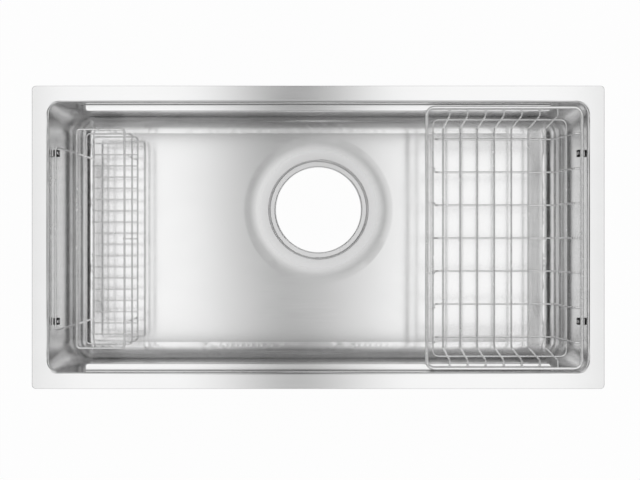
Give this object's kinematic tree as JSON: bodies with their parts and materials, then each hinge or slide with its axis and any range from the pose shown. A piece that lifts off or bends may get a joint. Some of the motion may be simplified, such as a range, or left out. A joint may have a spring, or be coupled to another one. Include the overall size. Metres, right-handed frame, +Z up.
{
  "type": "undermount kitchen sink",
  "caption": "Single-bowl undermount stainless steel sink with ledge rails, a sliding wire dish rack, a hanging wire basket on wall hooks and a stepped drain opening.",
  "frame": {"origin": "centre of the flange's top face, which meets the underside of the counter", "axes": "+X along the sink to the right, +Y to the back, where the drain is nearer, +Z up out of the bowl"},
  "size_m": [0.85, 0.45, 0.211],
  "materials": {
    "bowl_steel": "fine brushed satin",
    "rail_steel": "fine brushed satin",
    "hook_steel": "bright rolled",
    "saddle_rubber": "moulded matt",
    "pad_rubber": "matt, cut sheet",
    "rack_wire_steel": "electropolished",
    "basket_wire_steel": "electropolished"
  },
  "bodies": {
    "sink": {"bowl": "bowl_steel", "back_rail": "rail_steel", "front_rail": "rail_steel", "hook_left_back": "hook_steel", "hook_left_front": "hook_steel", "hook_right_back": "hook_steel", "hook_right_front": "hook_steel", "saddle_left_back": "saddle_rubber", "saddle_left_front": "saddle_rubber", "saddle_right_back": "saddle_rubber", "saddle_right_front": "saddle_rubber", "floor_pad_left": "pad_rubber", "floor_pad_right": "pad_rubber", "wall_pad_back": "pad_rubber", "wall_pad_front": "pad_rubber"},
    "dish_rack": {"rack_rim": "rack_wire_steel", "rack_belt_ring": "rack_wire_steel", "rack_cross_wire_1": "rack_wire_steel", "rack_cross_wire_2": "rack_wire_steel", "rack_cross_wire_3": "rack_wire_steel", "rack_cross_wire_4": "rack_wire_steel", "rack_cross_wire_5": "rack_wire_steel", "rack_cross_wire_6": "rack_wire_steel", "rack_cross_wire_7": "rack_wire_steel", "rack_long_wire_1": "rack_wire_steel", "rack_long_wire_2": "rack_wire_steel", "rack_long_wire_3": "rack_wire_steel", "rack_long_wire_4": "rack_wire_steel", "rack_long_wire_5": "rack_wire_steel", "rack_long_wire_6": "rack_wire_steel", "rack_long_wire_7": "rack_wire_steel"},
    "hanging_basket": {"basket_rim_ring": "basket_wire_steel", "basket_belt_ring": "basket_wire_steel", "basket_base_ring": "basket_wire_steel", "basket_hanger": "basket_wire_steel", "basket_upright_back": "basket_wire_steel", "basket_upright_middle": "basket_wire_steel", "basket_upright_front": "basket_wire_steel", "basket_floor_wire_1": "basket_wire_steel", "basket_floor_wire_2": "basket_wire_steel", "basket_floor_wire_3": "basket_wire_steel", "basket_floor_wire_4": "basket_wire_steel", "basket_floor_wire_5": "basket_wire_steel", "basket_floor_wire_6": "basket_wire_steel", "basket_floor_wire_7": "basket_wire_steel", "basket_floor_wire_8": "basket_wire_steel", "basket_floor_wire_9": "basket_wire_steel", "basket_floor_wire_10": "basket_wire_steel", "basket_floor_wire_11": "basket_wire_steel", "basket_floor_wire_12": "basket_wire_steel", "basket_floor_wire_13": "basket_wire_steel", "basket_floor_wire_14": "basket_wire_steel", "basket_floor_wire_15": "basket_wire_steel", "basket_floor_wire_16": "basket_wire_steel", "basket_floor_wire_17": "basket_wire_steel", "basket_floor_wire_18": "basket_wire_steel"}
  },
  "joints": [
    {"name": "rack_slide", "type": "slide", "parent": "sink", "child": "dish_rack", "axis": [1, 0, 0], "range_m": [-0.451, 0.0005]},
    {"name": "basket_lift_off", "type": "slide", "parent": "sink", "child": "hanging_basket", "axis": [0, 0, 1], "range_m": [0, 0.2]}
  ]
}
